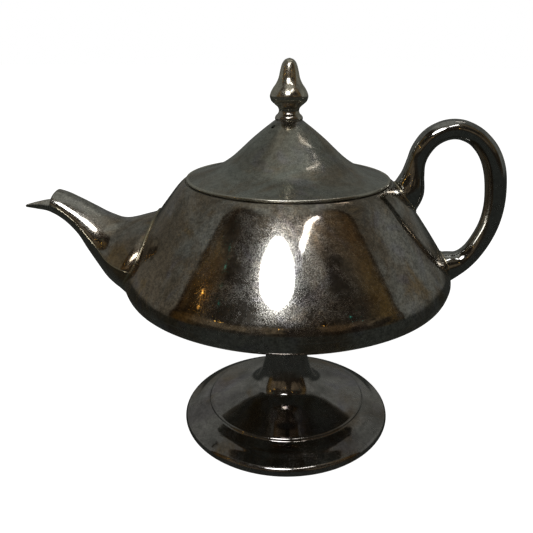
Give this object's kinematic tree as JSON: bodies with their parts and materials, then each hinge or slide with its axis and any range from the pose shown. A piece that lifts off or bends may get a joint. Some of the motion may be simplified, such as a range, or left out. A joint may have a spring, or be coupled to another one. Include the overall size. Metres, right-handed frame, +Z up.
{
  "type": "teapot",
  "caption": "Pedestal teapot: cone-shaped body on a stepped trumpet foot, spout with an open lip, loop handle, ogee lid with a turned finial.",
  "frame": {"origin": "centre of the foot's underside, on the surface that the pot stands on", "axes": "+Z up, the spout points along -X and the handle along +X"},
  "size_m": [0.2204, 0.1518, 0.1758],
  "materials": {
    "plate_body": "tarnished silver plate, mirror with brown and grey patina",
    "plate_foot": "tarnished silver plate, darker, mirror with grey patina",
    "plate_spout": "tarnished silver plate, mirror with brown patina at the base",
    "plate_handle": "tarnished silver plate, dark mirror",
    "plate_lid": "tarnished silver plate, finely scratched satin mirror",
    "plate_finial": "cleaner silver plate, warm and bright",
    "plate_inside": "dull plate inside the mouth and lid",
    "brass_fixings": "plain turned brass"
  },
  "bodies": {
    "pot": {"foot_shell": "plate_foot", "foot_wire": "plate_foot", "body_pan": "plate_body", "body_shell": "plate_body", "mouth_collar": "plate_inside", "spout_lower": "plate_spout", "spout_upper": "plate_spout", "handle": "plate_handle"},
    "lid": {"lid_shell": "plate_lid", "lid_wire": "plate_lid", "lid_bezel": "plate_inside", "finial": "plate_finial", "finial_stud": "brass_fixings", "finial_washer": "brass_fixings", "finial_nut": "brass_fixings"}
  },
  "joints": [
    {"name": "lid_lift", "type": "slide", "parent": "pot", "child": "lid", "axis": [0, 0, 1], "range_m": [0, 0.045]}
  ]
}
